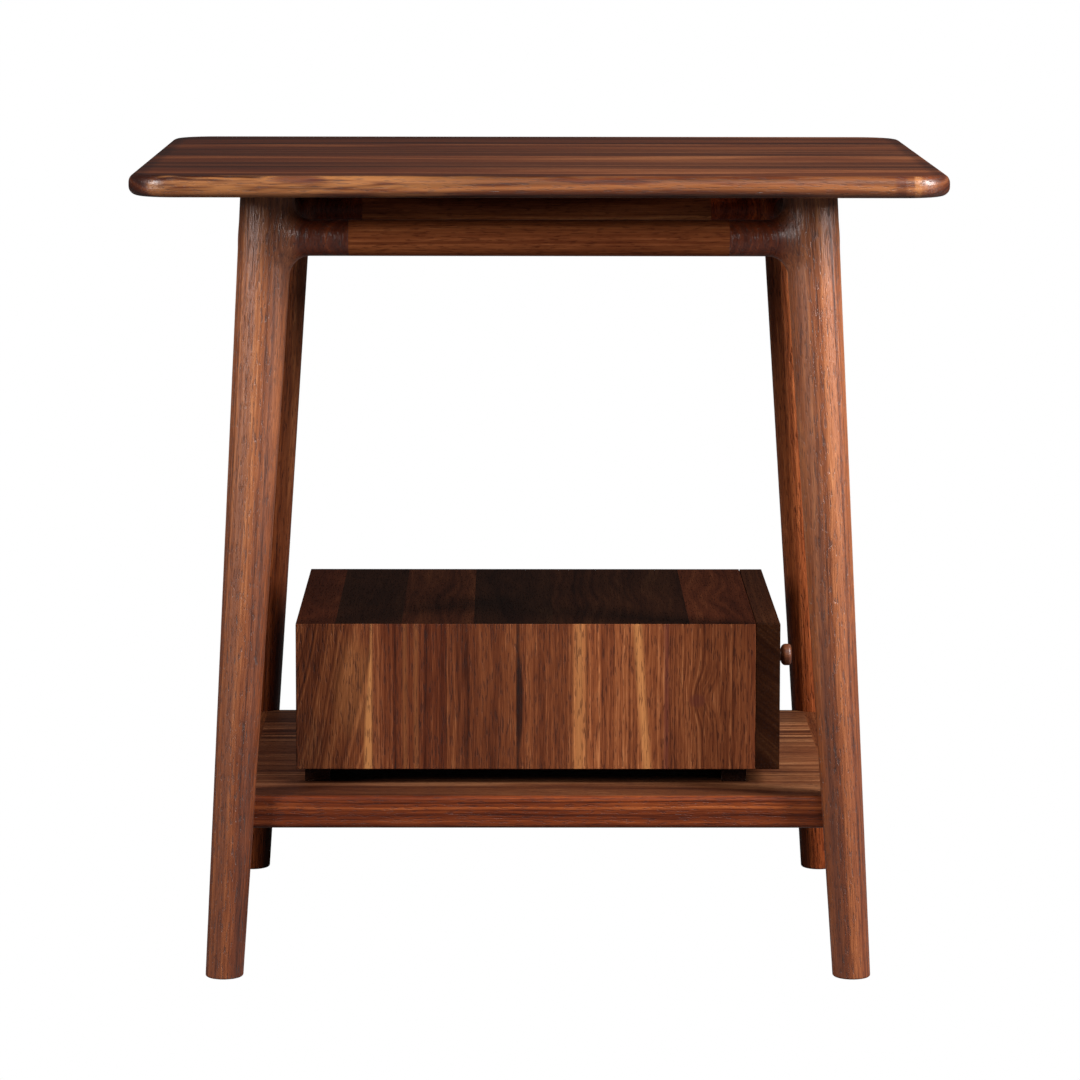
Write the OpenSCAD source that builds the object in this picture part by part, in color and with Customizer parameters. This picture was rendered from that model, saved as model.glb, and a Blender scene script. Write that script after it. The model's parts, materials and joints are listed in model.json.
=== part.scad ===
// Side table in solid walnut: splayed round legs that branch into the top rails,
// a shelf between the legs, and a cabinet on the shelf with one drawer that opens to +X.
// Millimetres, +Z up. The origin is on the floor under the middle of the top.
// The long side of the top is along X, and the broad side of the cabinet faces -Y.

/* [Tabletop] */
// Width of the top, along X
top_w = 600; // [580:10:680]
// Depth of the top, along Y
top_d = 470; // [450:10:540]
// Thickness of the top
top_t = 16; // [14:1:22]
// Radius of the top's corners, seen from above
top_corner_r = 35; // [15:1:60]
// Radius of the rounding along the top's upper and lower edges
top_edge_r = 6.5; // [3:0.5:6.5]
// Height of the table
table_h = 605; // [580:5:640]

/* [Legs] */
// Distance from the middle to a leg's axis along X, at the floor
foot_x = 235.7; // [232:0.1:240]
// Distance from the middle to a leg's axis along Y, at the floor
foot_y = 182; // [180:0.5:190]
// Distance from the middle to a leg's axis along X, under the top
head_x = 201; // [198:0.5:206]
// Distance from the middle to a leg's axis along Y, under the top
head_y = 151.5; // [148:0.5:156]
// Radius of a leg at the floor
foot_r = 14.2; // [13:0.1:15]
// Radius of a leg under the top
head_r = 20.4; // [18:0.1:22]
// Chamfer round the bottom of a leg
foot_chamfer = 1.2; // [0.5:0.1:2]

/* [Top rails] */
// Radius of the round top rails
rail_r = 13.5; // [11:0.1:14]
// Height of the rails' axes above the floor
rail_z = 553.5; // [535:0.5:558]
// Length of a leg's branch, from the leg's axis to the joint with the rail
branch_len = 62; // [50:1:75]
// Radius of the fillet where a branch leaves its leg
branch_fillet_r = 14; // [8:1:16]

/* [Shelf] */
// Height of the shelf's upper face
shelf_z = 135; // [125:1:150]
// Thickness of the shelf
shelf_t = 25; // [20:1:28]
// Depth of the shelf, along Y
shelf_d = 342; // [330:1:350]
// Width of the panel between the two shelf rails
shelf_panel_w = 442; // [436:1:444]
// Width of each shelf rail, across the grain
shelf_rail_w = 18; // [16:1:20]
// Rounding along the shelf's edges
shelf_edge_r = 4; // [2:0.5:6]

/* [Cabinet] */
// Closed end of the cabinet, along X
cabinet_x0 = -183.5; // [-188:0.5:-178]
// Length of the cabinet without the drawer's front
cabinet_len = 348.5; // [344:0.5:352]
// Depth of the cabinet, along Y
cabinet_d = 260; // [250:1:270]
// Height of the cabinet
cabinet_h = 112; // [106:1:130]
// Thickness of the cabinet's walls
wall_t = 18; // [15:0.5:18]
// Height of the two cross risers under the cabinet
riser_h = 12; // [8:1:20]
// Width of a riser, along X
riser_w = 19; // [16:1:24]
// How far the risers are set back from the cabinet's broad faces
riser_setback_y = 13; // [10:1:20]
// How far the risers are set back from the cabinet's ends
riser_setback_x = 6; // [0:0.5:20]

/* [Drawer] */
// Thickness of the drawer's front
front_t = 18; // [15:0.5:18]
// Gap between the cabinet and the closed drawer's front
front_gap = 0.4; // [0.3:0.1:1]
// Thickness of the drawer's sides
side_t = 14; // [14:0.5:16]
// Thickness of the drawer's back
back_t = 12; // [10:0.5:14]
// Thickness of the drawer's bottom
bottom_t = 5; // [4:0.5:6]
// How far the drawer opens
travel = 240; // [180:5:250]

/* [Knob] */
// Radius of the knob's head
knob_r = 8.5; // [7:0.5:11]
// Radius of the knob's neck
knob_neck_r = 5; // [4:0.5:6]
// How far the knob stands out
knob_len = 16.5; // [15:0.5:20]
// Height of the knob's axis above the middle of the drawer's front
knob_rise = 9; // [5:1:15]

/* [Hidden] */
$fn = 64;

walnut = [0.42, 0.23, 0.13];
walnut_dark = [0.30, 0.16, 0.10];
walnut_red = [0.47, 0.24, 0.13];
beech = [0.76, 0.58, 0.40];
steel = [0.62, 0.62, 0.64];
over = 1;           // how far a cutter runs past the face it opens
fit_gap = 0.1;      // room round a glued dowel, a screw or a panel in its groove

// Legs
under_z = table_h - top_t;
foot = [foot_x, foot_y, 0];
head = [head_x, head_y, under_z];
leg_vec = head - foot;
leg_len = norm(leg_vec);
leg_tilt = acos(leg_vec.z / leg_len);
leg_turn = atan2(leg_vec.y, leg_vec.x);
leg_extra = 30;     // length added past each end of a leg before it is cut off level
leg_seam = 90;      // turn of a leg about its own axis
function leg_at(z) = foot + leg_vec * z / under_z;
function leg_r(z) = foot_r + (head_r - foot_r) * z / under_z;
rail_node = leg_at(rail_z);             // where a leg's axis meets the rails' axes
branch_end_x = rail_node.x - branch_len;
branch_end_y = rail_node.y - branch_len;
web_half = rail_r + 1.5;                // half width of the fillet's web

// Dowels
rail_dowel_r = 5;
rail_dowel_half = 25;                   // length of a rail dowel to each side of the joint
leg_dowel_r = 6;
leg_dowel_down = 34;                    // length of a leg dowel inside the leg
leg_dowel_cover = 6;                    // wood left above a leg dowel in the top
leg_dowel_up = top_t - leg_dowel_cover;
shelf_dowel_r = 4;                      // also the radius of the panel dowels
shelf_mid_z = shelf_z - shelf_t / 2;
shelf_leg = leg_at(shelf_mid_z);        // where a leg's axis passes through the shelf
shelf_rail_x = shelf_panel_w / 2 + shelf_rail_w / 2;
shelf_dowel_in = 25;                    // length of a shelf dowel inside the shelf rail
shelf_dowel_run = 30;                   // length of a leg's bore for it, measured from the rail's end
shelf_rail_end = shelf_leg.y - leg_r(shelf_mid_z);
shelf_cope_gap = 0.2;                   // glue gap between the shelf and a leg
panel_dowel_in = 16;                    // length of a panel dowel inside the panel
panel_dowel_out = 12;                   // and inside the shelf rail
panel_dowel_x = [shelf_panel_w / 2 - panel_dowel_in, shelf_panel_w / 2 + panel_dowel_out];
panel_dowel_y = [-110, 0, 110];

// Cabinet
cabinet_x1 = cabinet_x0 + cabinet_len;
cabinet_z0 = shelf_z + riser_h;
cabinet_z1 = cabinet_z0 + cabinet_h;
cabinet_y = cabinet_d / 2;
bay_y = cabinet_y - wall_t;
bay_z0 = cabinet_z0 + wall_t;
bay_z1 = cabinet_z1 - wall_t;
cabinet_mid_z = (cabinet_z0 + cabinet_z1) / 2;

// Risers: one under each end of the cabinet
riser_mid = riser_setback_x + riser_w / 2;
riser_x = [cabinet_x0 + riser_mid, cabinet_x1 - riser_mid];
riser_y = cabinet_y - riser_setback_y;
riser_screw_inset = 37;                 // distance of a riser's screws from its ends
riser_screw_y = riser_y - riser_screw_inset;

// Screws: the head is [radius, height]
riser_screw_r = 2.2;
riser_screw_head = [4.4, 2.6];
riser_screw_z = shelf_z - shelf_t;
riser_screw_in = 10;                    // length of a riser screw inside the cabinet's bottom
riser_screw_len = shelf_t + riser_h + riser_screw_in;
runner_screw_r = 1.75;
runner_screw_head = [3.4, 2];
runner_screw_len = 20;
runner_screw_inset = 50;                // distance of a runner's screws from its ends
stop_screw_r = 2;
stop_screw_head = [4, 2.2];
stop_screw_in = 12;                     // length of the stop's screw inside the cabinet's top
knob_screw_r = 2;
knob_screw_in = 9.5;                    // length of the knob's screw inside the knob
knob_screw_head = [4, 2.2];

// Runners
runner_w = 8;
runner_h = 10;
runner_back_gap = 6;                    // from the end panel to a runner
runner_front_gap = 15;                  // from a runner to the open end of the cabinet
runner_x0 = cabinet_x0 + wall_t + runner_back_gap;
runner_x1 = cabinet_x1 - runner_front_gap;
runner_screw_x = [runner_x0 + runner_screw_inset, runner_x1 - runner_screw_inset];
slide_gap = 0.5;                        // room between a runner and the groove it rides in
groove_extra = 8;                       // how far the groove runs on past a runner's front end

// Drawer
drawer_back_gap = 8.5;                  // from the end panel to the drawer's back
drawer_gap_y = 1;                       // beside each side of the drawer
drawer_gap_z = 3;                       // above and below the drawer
drawer_x0 = cabinet_x0 + wall_t + drawer_back_gap;
drawer_x1 = cabinet_x1 + front_gap;
drawer_y = bay_y - drawer_gap_y;
drawer_z0 = bay_z0 + drawer_gap_z;
drawer_z1 = bay_z1 - drawer_gap_z;
inner_y = drawer_y - side_t;
bottom_rise = 6;                        // from the sides' lower edges to the bottom panel
bottom_z = drawer_z0 + bottom_rise;
groove_in = 5;                          // depth of the groove that holds the bottom
joint_z = [drawer_z0 + 17, drawer_z1 - 13];     // heights of the drawer's corner dowels
joint_dowel_r = 3;
joint_front = [14, 10];                 // length in the side, length in the front
joint_back = [13, 8];                   // length in the back, length in the side
knob_z = cabinet_mid_z + knob_rise;

// Stop: the drawer's back meets it at full travel
stop_w = 18;
stop_len = 24;
stop_h = 11;
stop_x0 = drawer_x0 + back_t + travel + 0.5;

// A copy of a shape drawn in the +X +Y quarter, on the side of each sign
module quarter(sx, sy) {
    mirror([sx < 0 ? 1 : 0, 0, 0]) mirror([0, sy < 0 ? 1 : 0, 0]) children();
}

module all_quarters() {
    for (sx = [-1, 1], sy = [-1, 1]) quarter(sx, sy) children();
}

// A straight round bar or bore between two heights, depths or widths
module bar_x(r, x0, x1, y, z) {
    translate([x0, y, z]) rotate([0, 90, 0]) cylinder(h = x1 - x0, r = r);
}

module bar_y(r, y0, y1, x, z) {
    translate([x, y1, z]) rotate([90, 0, 0]) cylinder(h = y1 - y0, r = r);
}

module bar_z(r, z0, z1, x, y) {
    translate([x, y, z0]) cylinder(h = z1 - z0, r = r);
}

module block(lo, hi) {
    translate(lo) cube(hi - lo);
}

// A rectangle that stands on y = 0 and is rounded at its corners
module rounded_section(w, h, r) {
    translate([-w / 2 + r, 0]) square([w - 2 * r, h]);
    translate([-w / 2, r]) square([w, h - 2 * r]);
    for (x = [-w / 2 + r, w / 2 - r], y = [r, h - r]) translate([x, y]) circle(r);
}

// A section in the YZ plane, drawn out along X
module along_x(x0, x1) {
    translate([x0, 0, 0]) rotate([90, 0, 90]) linear_extrude(x1 - x0) children();
}

// A countersunk wood screw along +Z: its point is up, and its head's face is at z = 0
module screw(r, length, head) {
    cylinder(h = head[1], r1 = head[0], r2 = r);
    translate([0, 0, head[1]]) cylinder(h = length - head[1] - r, r = r);
    translate([0, 0, length - r]) cylinder(h = r, r1 = r, r2 = 0.3);
}

module screw_hole(r, length, head) {
    translate([0, 0, -over]) cylinder(h = over, r = head[0] + fit_gap);
    cylinder(h = head[1], r1 = head[0] + fit_gap, r2 = r + fit_gap);
    cylinder(h = length + fit_gap, r = r + fit_gap);
}

// ---- Tabletop ----

module top_corner() {
    rotate_extrude() intersection() {
        rounded_section(2 * top_corner_r, top_t, top_edge_r);
        square([top_corner_r, top_t]);
    }
}

module tabletop() {
    color(walnut) difference() {
        translate([0, 0, under_z]) union() {
            along_x(-top_w / 2 + top_corner_r, top_w / 2 - top_corner_r)
                rounded_section(top_d, top_t, top_edge_r);
            rotate([0, 0, 90]) along_x(-top_d / 2 + top_corner_r, top_d / 2 - top_corner_r)
                rounded_section(top_w, top_t, top_edge_r);
            all_quarters()
                translate([top_w / 2 - top_corner_r, top_d / 2 - top_corner_r, 0]) top_corner();
        }
        all_quarters()
            bar_z(leg_dowel_r + fit_gap, under_z - over, under_z + leg_dowel_up + fit_gap,
                head_x, head_y);
    }
}

// ---- Legs ----

// The +X +Y leg's tapered shaft, running past both ends. It is turned about its own axis,
// which keeps the cone's seam off the line where the level cuts are steepest.
module leg_cone(grow = 0) {
    run = leg_len + 2 * leg_extra;
    slope = (head_r - foot_r) / leg_len;
    translate(foot) rotate([0, leg_tilt, leg_turn]) rotate(leg_seam) translate([0, 0, -leg_extra])
        cylinder(h = run, r1 = foot_r - slope * leg_extra + grow, r2 = head_r + slope * leg_extra + grow);
}

// The space that a leg may fill: level under the top, level and chamfered at the floor
module leg_ends() {
    block([0, 0, foot_chamfer], [top_w / 2, top_d / 2, under_z]);
    translate(foot) cylinder(h = foot_chamfer, r1 = foot_r - foot_chamfer, r2 = foot_r + fit_gap);
}

// A branch along +Z from the leg's axis, with the concave fillet that joins it to the leg.
// The children are the block that the fillet's web may fill.
module branch() {
    arc_at = leg_r(rail_z) - 1 + branch_fillet_r;
    cylinder(h = branch_len, r = rail_r);
    intersection() {
        rotate_extrude() difference() {
            square([rail_r + branch_fillet_r, arc_at]);
            translate([rail_r + branch_fillet_r, arc_at]) circle(branch_fillet_r);
        }
        children();
    }
}

module leg() {
    color(walnut) difference() {
        union() {
            intersection() {
                leg_cone();
                leg_ends();
            }
            translate(rail_node) rotate([0, -90, 0]) branch()
                block([-branch_len, -web_half, 0], [branch_len, web_half, branch_len]);
            translate(rail_node) rotate([90, 0, 0]) branch()
                block([-web_half, -branch_len, 0], [web_half, branch_len, branch_len]);
        }
        bar_x(rail_dowel_r + fit_gap, branch_end_x - over, branch_end_x + rail_dowel_half + fit_gap,
            rail_node.y, rail_z);
        bar_y(rail_dowel_r + fit_gap, branch_end_y - over, branch_end_y + rail_dowel_half + fit_gap,
            rail_node.x, rail_z);
        bar_z(leg_dowel_r + fit_gap, under_z - leg_dowel_down - fit_gap, under_z + over,
            head_x, head_y);
        bar_y(shelf_dowel_r + fit_gap, shelf_rail_end - shelf_dowel_run, shelf_leg.y + fit_gap,
            shelf_rail_x, shelf_mid_z);
    }
}

module front_left_leg() {
    quarter(-1, -1) leg();
}

module front_right_leg() {
    quarter(1, -1) leg();
}

module rear_left_leg() {
    quarter(-1, 1) leg();
}

module rear_right_leg() {
    quarter(1, 1) leg();
}

// ---- Top rails ----

// A round rail along X between two branches, bored at both ends for its dowels
module rail_x(half) {
    bore = rail_dowel_half + fit_gap;
    color(walnut_red) difference() {
        bar_x(rail_r, -half, half, 0, rail_z);
        bar_x(rail_dowel_r + fit_gap, half - bore, half + over, 0, rail_z);
        bar_x(rail_dowel_r + fit_gap, -half - over, bore - half, 0, rail_z);
    }
}

module front_top_rail() {
    translate([0, -rail_node.y, 0]) rail_x(branch_end_x);
}

module rear_top_rail() {
    translate([0, rail_node.y, 0]) rail_x(branch_end_x);
}

module left_top_rail() {
    translate([-rail_node.x, 0, 0]) rotate([0, 0, 90]) rail_x(branch_end_y);
}

module right_top_rail() {
    translate([rail_node.x, 0, 0]) rotate([0, 0, 90]) rail_x(branch_end_y);
}

module rail_dowels() {
    color(beech) all_quarters() {
        bar_x(rail_dowel_r, branch_end_x - rail_dowel_half, branch_end_x + rail_dowel_half,
            rail_node.y, rail_z);
        bar_y(rail_dowel_r, branch_end_y - rail_dowel_half, branch_end_y + rail_dowel_half,
            rail_node.x, rail_z);
    }
}

module leg_dowels() {
    color(beech) all_quarters()
        bar_z(leg_dowel_r, under_z - leg_dowel_down, under_z + leg_dowel_up, head_x, head_y);
}

// ---- Shelf ----

module shelf_dowel_bores() {
    for (side = [0, 1], y = panel_dowel_y) mirror([side, 0, 0])
        bar_x(shelf_dowel_r + fit_gap, panel_dowel_x[0] - fit_gap, panel_dowel_x[1] + fit_gap,
            y, shelf_mid_z);
}

module shelf_panel() {
    color(walnut) difference() {
        along_x(-shelf_panel_w / 2, shelf_panel_w / 2)
            translate([0, shelf_z - shelf_t]) rounded_section(shelf_d, shelf_t, shelf_edge_r);
        all_quarters() leg_cone(shelf_cope_gap);
        shelf_dowel_bores();
        riser_screw_holes();
    }
}

// The right-hand shelf rail, its grain along Y, between the two right legs
module shelf_rail() {
    x0 = shelf_panel_w / 2;
    color(walnut_red) difference() {
        block([x0, -shelf_leg.y, shelf_z - shelf_t], [x0 + shelf_rail_w, shelf_leg.y, shelf_z]);
        for (sy = [-1, 1]) quarter(1, sy) {
            leg_cone(shelf_cope_gap);
            bar_y(shelf_dowel_r + fit_gap, shelf_rail_end - shelf_dowel_in - fit_gap, shelf_leg.y + over,
                shelf_rail_x, shelf_mid_z);
        }
        shelf_dowel_bores();
    }
}

module right_shelf_rail() {
    shelf_rail();
}

module left_shelf_rail() {
    mirror([1, 0, 0]) shelf_rail();
}

module shelf_dowels() {
    color(beech) all_quarters()
        bar_y(shelf_dowel_r, shelf_rail_end - shelf_dowel_in, shelf_leg.y, shelf_rail_x, shelf_mid_z);
}

module panel_dowels() {
    color(beech) for (side = [0, 1], y = panel_dowel_y) mirror([side, 0, 0])
        bar_x(shelf_dowel_r, panel_dowel_x[0], panel_dowel_x[1], y, shelf_mid_z);
}

// ---- Risers ----

module riser_screw_places() {
    for (x = riser_x, sy = [-1, 1]) translate([x, sy * riser_screw_y, riser_screw_z]) children();
}

module riser_screw_holes() {
    riser_screw_places() screw_hole(riser_screw_r, riser_screw_len, riser_screw_head);
}

module riser_screws() {
    color(steel) riser_screw_places() screw(riser_screw_r, riser_screw_len, riser_screw_head);
}

// A strip along Y between the shelf and the cabinet
module riser(x) {
    color(walnut_dark) difference() {
        block([x - riser_w / 2, -riser_y, shelf_z], [x + riser_w / 2, riser_y, cabinet_z0]);
        riser_screw_holes();
    }
}

module left_riser() {
    riser(riser_x[0]);
}

module right_riser() {
    riser(riser_x[1]);
}

// ---- Cabinet ----

// The cabinet's four long panels are mitred, so each is a strip with sloping ends.
// cabinet_z0 to cabinet_z1 is the outer height, and bay_z0 to bay_z1 is the inner one.
module cabinet_top() {
    color(walnut_dark) difference() {
        along_x(cabinet_x0, cabinet_x1) polygon([
            [-cabinet_y, cabinet_z1], [-bay_y, bay_z1], [bay_y, bay_z1], [cabinet_y, cabinet_z1]
        ]);
        stop_screw_place() screw_hole(stop_screw_r, stop_h + stop_screw_in, stop_screw_head);
    }
}

module cabinet_bottom() {
    color(walnut_dark) difference() {
        along_x(cabinet_x0, cabinet_x1) polygon([
            [-cabinet_y, cabinet_z0], [cabinet_y, cabinet_z0], [bay_y, bay_z0], [-bay_y, bay_z0]
        ]);
        riser_screw_holes();
    }
}

// The panel on the +Y side
module cabinet_side() {
    color(walnut) difference() {
        along_x(cabinet_x0, cabinet_x1) polygon([
            [cabinet_y, cabinet_z0], [cabinet_y, cabinet_z1], [bay_y, bay_z1], [bay_y, bay_z0]
        ]);
        runner_screw_places() screw_hole(runner_screw_r, runner_screw_len, runner_screw_head);
    }
}

module cabinet_front_panel() {
    mirror([0, 1, 0]) cabinet_side();
}

module cabinet_rear_panel() {
    cabinet_side();
}

module cabinet_end_panel() {
    color(walnut) block([cabinet_x0, -bay_y, bay_z0], [cabinet_x0 + wall_t, bay_y, bay_z1]);
}

// ---- Runners ----

// Places on the +Y runner, with the screws pointing outwards
module runner_screw_places() {
    for (x = runner_screw_x)
        translate([x, bay_y - runner_w, cabinet_mid_z]) rotate([-90, 0, 0]) children();
}

// The hardwood strip on the +Y panel that the drawer's side hangs on
module runner() {
    color(beech) difference() {
        block([runner_x0, bay_y - runner_w, cabinet_mid_z - runner_h / 2],
            [runner_x1, bay_y, cabinet_mid_z + runner_h / 2]);
        runner_screw_places() screw_hole(runner_screw_r, runner_screw_len, runner_screw_head);
    }
}

module front_runner() {
    mirror([0, 1, 0]) runner();
}

module rear_runner() {
    runner();
}

module runner_screws() {
    color(steel) for (side = [0, 1]) mirror([0, side, 0])
        runner_screw_places() screw(runner_screw_r, runner_screw_len, runner_screw_head);
}

// ---- Stop ----

module stop_screw_place() {
    translate([stop_x0 + stop_len / 2, 0, bay_z1 - stop_h]) children();
}

module drawer_stop() {
    color(beech) difference() {
        block([stop_x0, -stop_w / 2, bay_z1 - stop_h], [stop_x0 + stop_len, stop_w / 2, bay_z1]);
        stop_screw_place() screw_hole(stop_screw_r, stop_h + stop_screw_in, stop_screw_head);
    }
}

module stop_screw() {
    color(steel) stop_screw_place() screw(stop_screw_r, stop_h + stop_screw_in, stop_screw_head);
}

// ---- Drawer ----

// The bottom panel, or with grow the groove that holds it, which is open at the back
module bottom_panel(grow = 0) {
    edge = groove_in + grow;
    block([drawer_x0 - (grow > 0 ? over : 0), -inner_y - edge, bottom_z - grow],
        [drawer_x1 + edge, inner_y + edge, bottom_z + bottom_t + grow]);
}

// Dowels between the +Y side and the drawer's front and back
module joint_dowels(grow = 0) {
    mid_y = (drawer_y + inner_y) / 2;
    for (z = joint_z) {
        bar_x(joint_dowel_r + grow, drawer_x1 - joint_front[0] - grow, drawer_x1 + joint_front[1] + grow,
            mid_y, z);
        bar_y(joint_dowel_r + grow, inner_y - joint_back[0] - grow, inner_y + joint_back[1] + grow,
            drawer_x0 + back_t / 2, z);
    }
}

module drawer_dowels() {
    color(beech) for (side = [0, 1]) mirror([0, side, 0]) joint_dowels();
}

module drawer_front() {
    color(walnut_dark) difference() {
        block([drawer_x1, -cabinet_y, cabinet_z0], [drawer_x1 + front_t, cabinet_y, cabinet_z1]);
        bottom_panel(fit_gap);
        for (side = [0, 1]) mirror([0, side, 0]) joint_dowels(fit_gap);
        bar_x(knob_screw_r + fit_gap, drawer_x1 - over, drawer_x1 + front_t + over, 0, knob_z);
    }
}

// The +Y side, with the groove that rides on the runner
module drawer_side() {
    color(beech) difference() {
        block([drawer_x0, inner_y, drawer_z0], [drawer_x1, drawer_y, drawer_z1]);
        block([drawer_x0 - over, bay_y - runner_w - slide_gap, cabinet_mid_z - runner_h / 2 - slide_gap],
            [runner_x1 + groove_extra, drawer_y + over, cabinet_mid_z + runner_h / 2 + slide_gap]);
        bottom_panel(fit_gap);
        joint_dowels(fit_gap);
    }
}

module drawer_right_side() {
    drawer_side();
}

module drawer_left_side() {
    mirror([0, 1, 0]) drawer_side();
}

module drawer_back() {
    color(beech) difference() {
        block([drawer_x0, -inner_y, bottom_z + bottom_t + fit_gap],
            [drawer_x0 + back_t, inner_y, drawer_z1]);
        for (side = [0, 1]) mirror([0, side, 0]) joint_dowels(fit_gap);
    }
}

module drawer_bottom() {
    color(beech) bottom_panel();
}

// ---- Knob ----

// The turned knob stands on z = 0: a neck that flares into a head with a soft rim
module knob_shape() {
    front_r = 2.5;              // rounding of the knob's face
    back_r = knob_r - knob_neck_r;          // rounding behind the rim, which starts at the neck
    rim_t = 2;                  // straight part of the rim, between the two roundings
    neck_len = knob_len - front_r - rim_t - back_r;
    base_t = 1.5;               // thickness of the flare at the foot of the neck
    waist_r = (knob_r - knob_neck_r) / 2;
    rotate_extrude() difference() {
        union() {
            square([knob_neck_r, knob_len - 1]);
            square([knob_neck_r + waist_r, base_t]);
            translate([0, neck_len]) square([knob_r - front_r, knob_len - neck_len]);
            translate([0, neck_len + back_r]) square([knob_r, rim_t]);
            translate([knob_r - back_r, neck_len + back_r]) circle(back_r);
            translate([knob_r - front_r, knob_len - front_r]) circle(front_r);
        }
        translate([knob_neck_r + waist_r, base_t + waist_r]) circle(waist_r);
        translate([-2 * knob_r, -over]) square([2 * knob_r, knob_len + 2 * over]);
    }
}

module drawer_knob() {
    color(walnut_red) translate([drawer_x1 + front_t, 0, knob_z]) rotate([0, 90, 0]) difference() {
        knob_shape();
        translate([0, 0, -over]) cylinder(h = knob_screw_in + over + fit_gap, r = knob_screw_r + fit_gap);
    }
}

module knob_screw() {
    color(steel) {
        bar_x(knob_screw_r, drawer_x1, drawer_x1 + front_t + knob_screw_in, 0, knob_z);
        bar_x(knob_screw_head[0], drawer_x1 - knob_screw_head[1], drawer_x1, 0, knob_z);
    }
}

tabletop();
front_left_leg();
front_right_leg();
rear_left_leg();
rear_right_leg();
front_top_rail();
rear_top_rail();
left_top_rail();
right_top_rail();
rail_dowels();
leg_dowels();
shelf_panel();
left_shelf_rail();
right_shelf_rail();
shelf_dowels();
panel_dowels();
left_riser();
right_riser();
riser_screws();
cabinet_top();
cabinet_bottom();
cabinet_front_panel();
cabinet_rear_panel();
cabinet_end_panel();
front_runner();
rear_runner();
runner_screws();
drawer_stop();
stop_screw();
drawer_front();
drawer_left_side();
drawer_right_side();
drawer_back();
drawer_bottom();
drawer_dowels();
drawer_knob();
knob_screw();
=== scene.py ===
"""Looks of the walnut side table with a drawer: camera, studio light, meshes and wood."""
import json
import math

import bmesh
import bpy
import numpy as np
from mathutils import Matrix, Vector


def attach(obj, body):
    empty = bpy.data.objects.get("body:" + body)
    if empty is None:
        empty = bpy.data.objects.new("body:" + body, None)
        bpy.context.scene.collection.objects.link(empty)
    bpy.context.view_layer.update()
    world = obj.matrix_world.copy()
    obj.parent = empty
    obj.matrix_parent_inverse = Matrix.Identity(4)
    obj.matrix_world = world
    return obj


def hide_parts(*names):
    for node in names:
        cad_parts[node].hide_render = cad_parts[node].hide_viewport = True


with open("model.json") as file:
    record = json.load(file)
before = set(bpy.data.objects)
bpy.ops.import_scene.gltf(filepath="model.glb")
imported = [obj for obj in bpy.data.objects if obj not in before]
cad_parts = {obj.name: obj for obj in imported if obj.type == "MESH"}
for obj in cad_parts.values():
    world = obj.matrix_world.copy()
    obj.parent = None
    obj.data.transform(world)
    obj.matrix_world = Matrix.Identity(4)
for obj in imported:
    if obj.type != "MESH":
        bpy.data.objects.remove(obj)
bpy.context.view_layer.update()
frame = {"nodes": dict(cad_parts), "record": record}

NODES = frame["nodes"]
BODIES = {n: body for body, members in frame["record"]["behaviour"]["bodies"].items() for n in members}
MM = 0.001

X, Y, Z = Vector((1, 0, 0)), Vector((0, 1, 0)), Vector((0, 0, 1))


# ---------------------------------------------------------------- measures shared with the CAD part (mm)

FOOT = Vector((235.7, 182.0, 0.0))      # a leg's axis at the floor, +X +Y leg
HEAD = Vector((201.0, 151.5, 589.0))    # and under the top
FOOT_R, HEAD_R = 14.2, 20.4
RAIL_R, RAIL_Z, BRANCH_LEN, BRANCH_FILLET = 13.5, 553.5, 62.0, 14.0
FOOT_EASE = 1.3
CABINET_Z0 = 147.0


# ---------------------------------------------------------------- shader graph helper

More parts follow.
